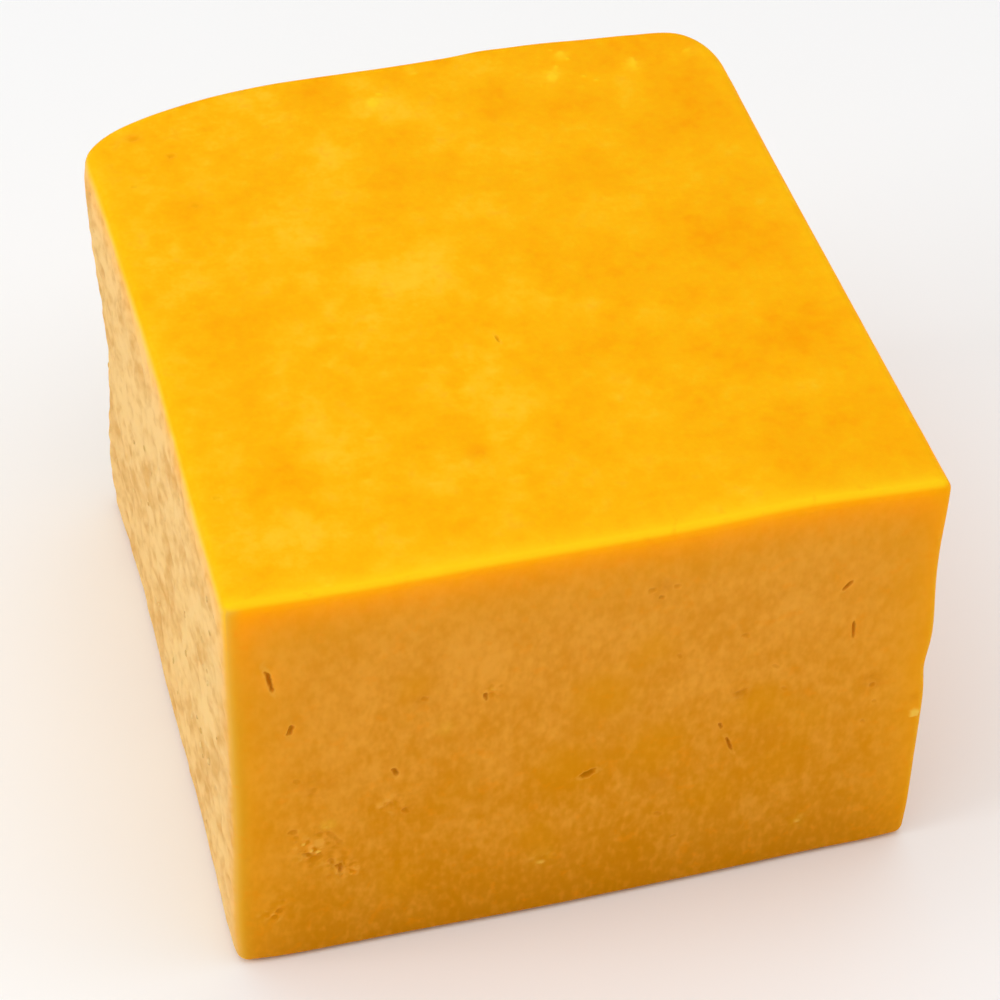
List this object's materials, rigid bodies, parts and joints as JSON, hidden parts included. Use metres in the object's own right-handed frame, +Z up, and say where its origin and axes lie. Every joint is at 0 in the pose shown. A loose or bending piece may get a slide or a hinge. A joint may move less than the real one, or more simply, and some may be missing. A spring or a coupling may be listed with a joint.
{
  "type": "block of cheddar cheese",
  "caption": "Block of orange cheddar cheese with smooth cut faces, a rough dimpled side, softened edges and short curd openings.",
  "frame": {"origin": "under the middle of the block, on the surface it stands on", "axes": "+Z up, -Y out of the smooth cut front, -X out of the rough side"},
  "size_m": [0.1112, 0.1262, 0.0779],
  "materials": {
    "cheese": "smooth, slightly waxy cut cheese, paler and dry on the rough outside"
  },
  "bodies": {
    "root": {"cheese_block": "cheese"}
  },
  "joints": []
}
